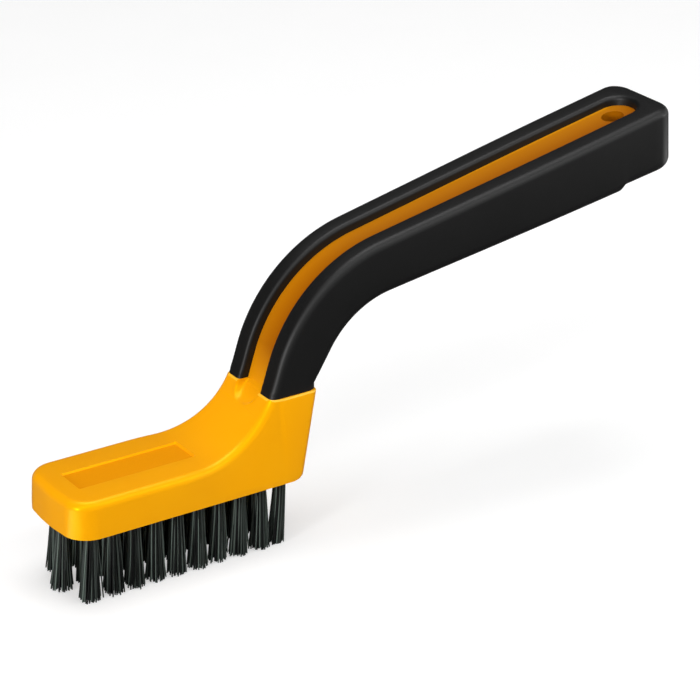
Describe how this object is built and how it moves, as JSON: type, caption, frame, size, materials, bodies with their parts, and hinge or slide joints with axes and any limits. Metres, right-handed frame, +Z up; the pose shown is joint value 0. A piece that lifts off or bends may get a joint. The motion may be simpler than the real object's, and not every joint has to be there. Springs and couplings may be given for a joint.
{
  "type": "grout brush",
  "caption": "Narrow grout brush: orange plastic head and swept neck, offset handle in a black soft grip with an orange channel along its top, and rows of stiff black bristle.",
  "frame": {"origin": "in the plane of the bristle tips, at the tip of the middle row's sixth tuft, counted from the nose", "axes": "+X from the nose to the butt of the handle, +Z up, from the bristle tips to the handle, +Y across the head, so that the left row of tufts is at -Y"},
  "size_m": [0.1971, 0.03, 0.1009],
  "materials": {
    "body": "injection moulded polypropylene, satin, orange",
    "grip": "moulded thermoplastic elastomer, matt, black",
    "anchor": "flat steel strip, as cut",
    "bristle": "stiff nylon filament, black with a grey-green sheen"
  },
  "bodies": {
    "root": {"body": "body", "grip": "grip", "anchors_left": "anchor", "anchors_centre": "anchor", "anchors_right": "anchor", "tuft_left_01": "bristle", "tuft_left_02": "bristle", "tuft_left_03": "bristle", "tuft_left_04": "bristle", "tuft_left_05": "bristle", "tuft_left_06": "bristle", "tuft_left_07": "bristle", "tuft_left_08": "bristle", "tuft_left_09": "bristle", "tuft_left_10": "bristle", "tuft_centre_01": "bristle", "tuft_centre_02": "bristle", "tuft_centre_03": "bristle", "tuft_centre_04": "bristle", "tuft_centre_05": "bristle", "tuft_centre_06": "bristle", "tuft_centre_07": "bristle", "tuft_centre_08": "bristle", "tuft_centre_09": "bristle", "tuft_centre_10": "bristle", "tuft_right_01": "bristle", "tuft_right_02": "bristle", "tuft_right_03": "bristle", "tuft_right_04": "bristle", "tuft_right_05": "bristle", "tuft_right_06": "bristle", "tuft_right_07": "bristle", "tuft_right_08": "bristle", "tuft_right_09": "bristle", "tuft_right_10": "bristle"}
  },
  "joints": []
}
